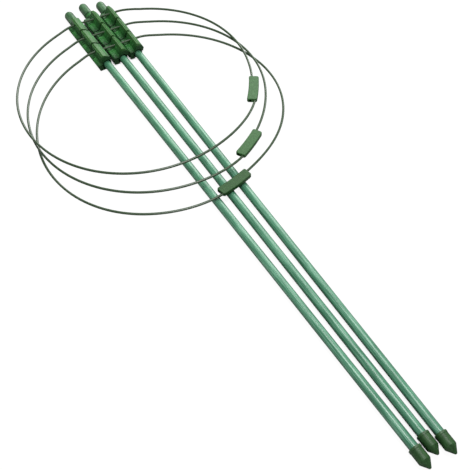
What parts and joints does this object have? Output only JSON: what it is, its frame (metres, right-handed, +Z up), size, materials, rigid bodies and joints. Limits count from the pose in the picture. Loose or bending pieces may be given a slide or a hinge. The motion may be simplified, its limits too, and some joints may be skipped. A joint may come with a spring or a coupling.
{
  "type": "garden plant support",
  "caption": "Ring plant support packed flat: coated stakes with pointed feet, stacked clips at the heads, and wire hoops swung back over the stakes.",
  "frame": {"origin": "on the ground under the middle hoop's line through its clips, on the underside of the middle stake's middle clip", "axes": "+X across the stakes, +Y along the stakes towards their heads, +Z up from the ground"},
  "size_m": [0.377, 0.9406, 0.0373],
  "materials": {
    "coat": "satin, with a faint lengthwise streak",
    "core": "plain drawn steel",
    "cap": "satin moulded",
    "clip": "satin moulded",
    "wire": "satin plastic-dipped steel wire",
    "connector": "satin moulded"
  },
  "bodies": {
    "stake_left": {"coat_left": "coat", "core_left": "core", "top_cap_left": "cap", "foot_cap_left": "cap"},
    "stake_middle": {"coat_middle": "coat", "core_middle": "core", "top_cap_middle": "cap", "foot_cap_middle": "cap", "collar_middle": "clip"},
    "stake_right": {"coat_right": "coat", "core_right": "core", "top_cap_right": "cap", "foot_cap_right": "cap"},
    "clip_top_left": {"clip_top_left": "clip"},
    "clip_top_middle": {"clip_top_middle": "clip"},
    "clip_top_right": {"clip_top_right": "clip"},
    "clip_middle_left": {"clip_middle_left": "clip"},
    "clip_middle_middle": {"clip_middle_middle": "clip"},
    "clip_middle_right": {"clip_middle_right": "clip"},
    "clip_bottom_left": {"clip_bottom_left": "clip"},
    "clip_bottom_middle": {"clip_bottom_middle": "clip"},
    "clip_bottom_right": {"clip_bottom_right": "clip"},
    "hoop_top": {"hoop_wire_top": "wire", "connector_top": "connector"},
    "hoop_middle": {"hoop_wire_middle": "wire", "connector_middle": "connector"},
    "hoop_bottom": {"hoop_wire_bottom": "wire", "connector_bottom": "connector"}
  },
  "joints": [
    {"name": "stake_left_slide", "type": "slide", "parent": "stake_middle", "child": "stake_left", "axis": [-0.0128, 0.9999, 0], "range_m": [0, 0.15]},
    {"name": "stake_right_slide", "type": "slide", "parent": "stake_middle", "child": "stake_right", "axis": [0.011, 0.9999, 0], "range_m": [0, 0.15]},
    {"name": "clip_top_middle_slide", "type": "slide", "parent": "stake_middle", "child": "clip_top_middle", "axis": [0, -1, 0], "range_m": [0, 0.07]},
    {"name": "clip_top_left_slide", "type": "slide", "parent": "stake_middle", "child": "clip_top_left", "axis": [0.0128, -0.9999, 0], "range_m": [0, 0.07]},
    {"name": "clip_top_right_slide", "type": "slide", "parent": "stake_middle", "child": "clip_top_right", "axis": [-0.011, -0.9999, 0], "range_m": [0, 0.07]},
    {"name": "clip_middle_middle_slide", "type": "slide", "parent": "clip_top_middle", "child": "clip_middle_middle", "axis": [0, -1, 0], "range_m": [0, 0.07]},
    {"name": "clip_middle_left_slide", "type": "slide", "parent": "clip_top_left", "child": "clip_middle_left", "axis": [0.0128, -0.9999, 0], "range_m": [0, 0.07]},
    {"name": "clip_middle_right_slide", "type": "slide", "parent": "clip_top_right", "child": "clip_middle_right", "axis": [-0.011, -0.9999, 0], "range_m": [0, 0.07]},
    {"name": "clip_bottom_middle_slide", "type": "slide", "parent": "clip_middle_middle", "child": "clip_bottom_middle", "axis": [0, -1, 0], "range_m": [0, 0.07]},
    {"name": "clip_bottom_left_slide", "type": "slide", "parent": "clip_middle_left", "child": "clip_bottom_left", "axis": [0.0128, -0.9999, 0], "range_m": [0, 0.07]},
    {"name": "clip_bottom_right_slide", "type": "slide", "parent": "clip_middle_right", "child": "clip_bottom_right", "axis": [-0.011, -0.9999, 0], "range_m": [0, 0.07]},
    {"name": "hoop_top_swing", "type": "hinge", "parent": "clip_top_middle", "child": "hoop_top", "pos_m": [0.00071, 0.03618, 0.02041], "axis": [-0.9985, 0.0523, -0.0131], "range_deg": [0, 90]},
    {"name": "hoop_middle_swing", "type": "hinge", "parent": "clip_middle_middle", "child": "hoop_middle", "pos_m": [0.00071, -0.00292, 0.02041], "axis": [-0.9986, 0.0523, -0.0113], "range_deg": [0, 90]},
    {"name": "hoop_bottom_swing", "type": "hinge", "parent": "clip_bottom_middle", "child": "hoop_bottom", "pos_m": [0.00071, -0.04202, 0.02041], "axis": [-0.9986, 0.0523, -0.0077], "range_deg": [0, 90]}
  ],
  "couplings": [
    {"joint": "clip_top_left_slide", "follows": "clip_top_middle_slide", "ratio": 1},
    {"joint": "clip_top_right_slide", "follows": "clip_top_middle_slide", "ratio": 1},
    {"joint": "clip_middle_left_slide", "follows": "clip_middle_middle_slide", "ratio": 1},
    {"joint": "clip_middle_right_slide", "follows": "clip_middle_middle_slide", "ratio": 1},
    {"joint": "clip_bottom_left_slide", "follows": "clip_bottom_middle_slide", "ratio": 1},
    {"joint": "clip_bottom_right_slide", "follows": "clip_bottom_middle_slide", "ratio": 1},
    {"joint": "hoop_middle_swing", "follows": "hoop_top_swing", "ratio": 1},
    {"joint": "hoop_bottom_swing", "follows": "hoop_top_swing", "ratio": 1}
  ]
}
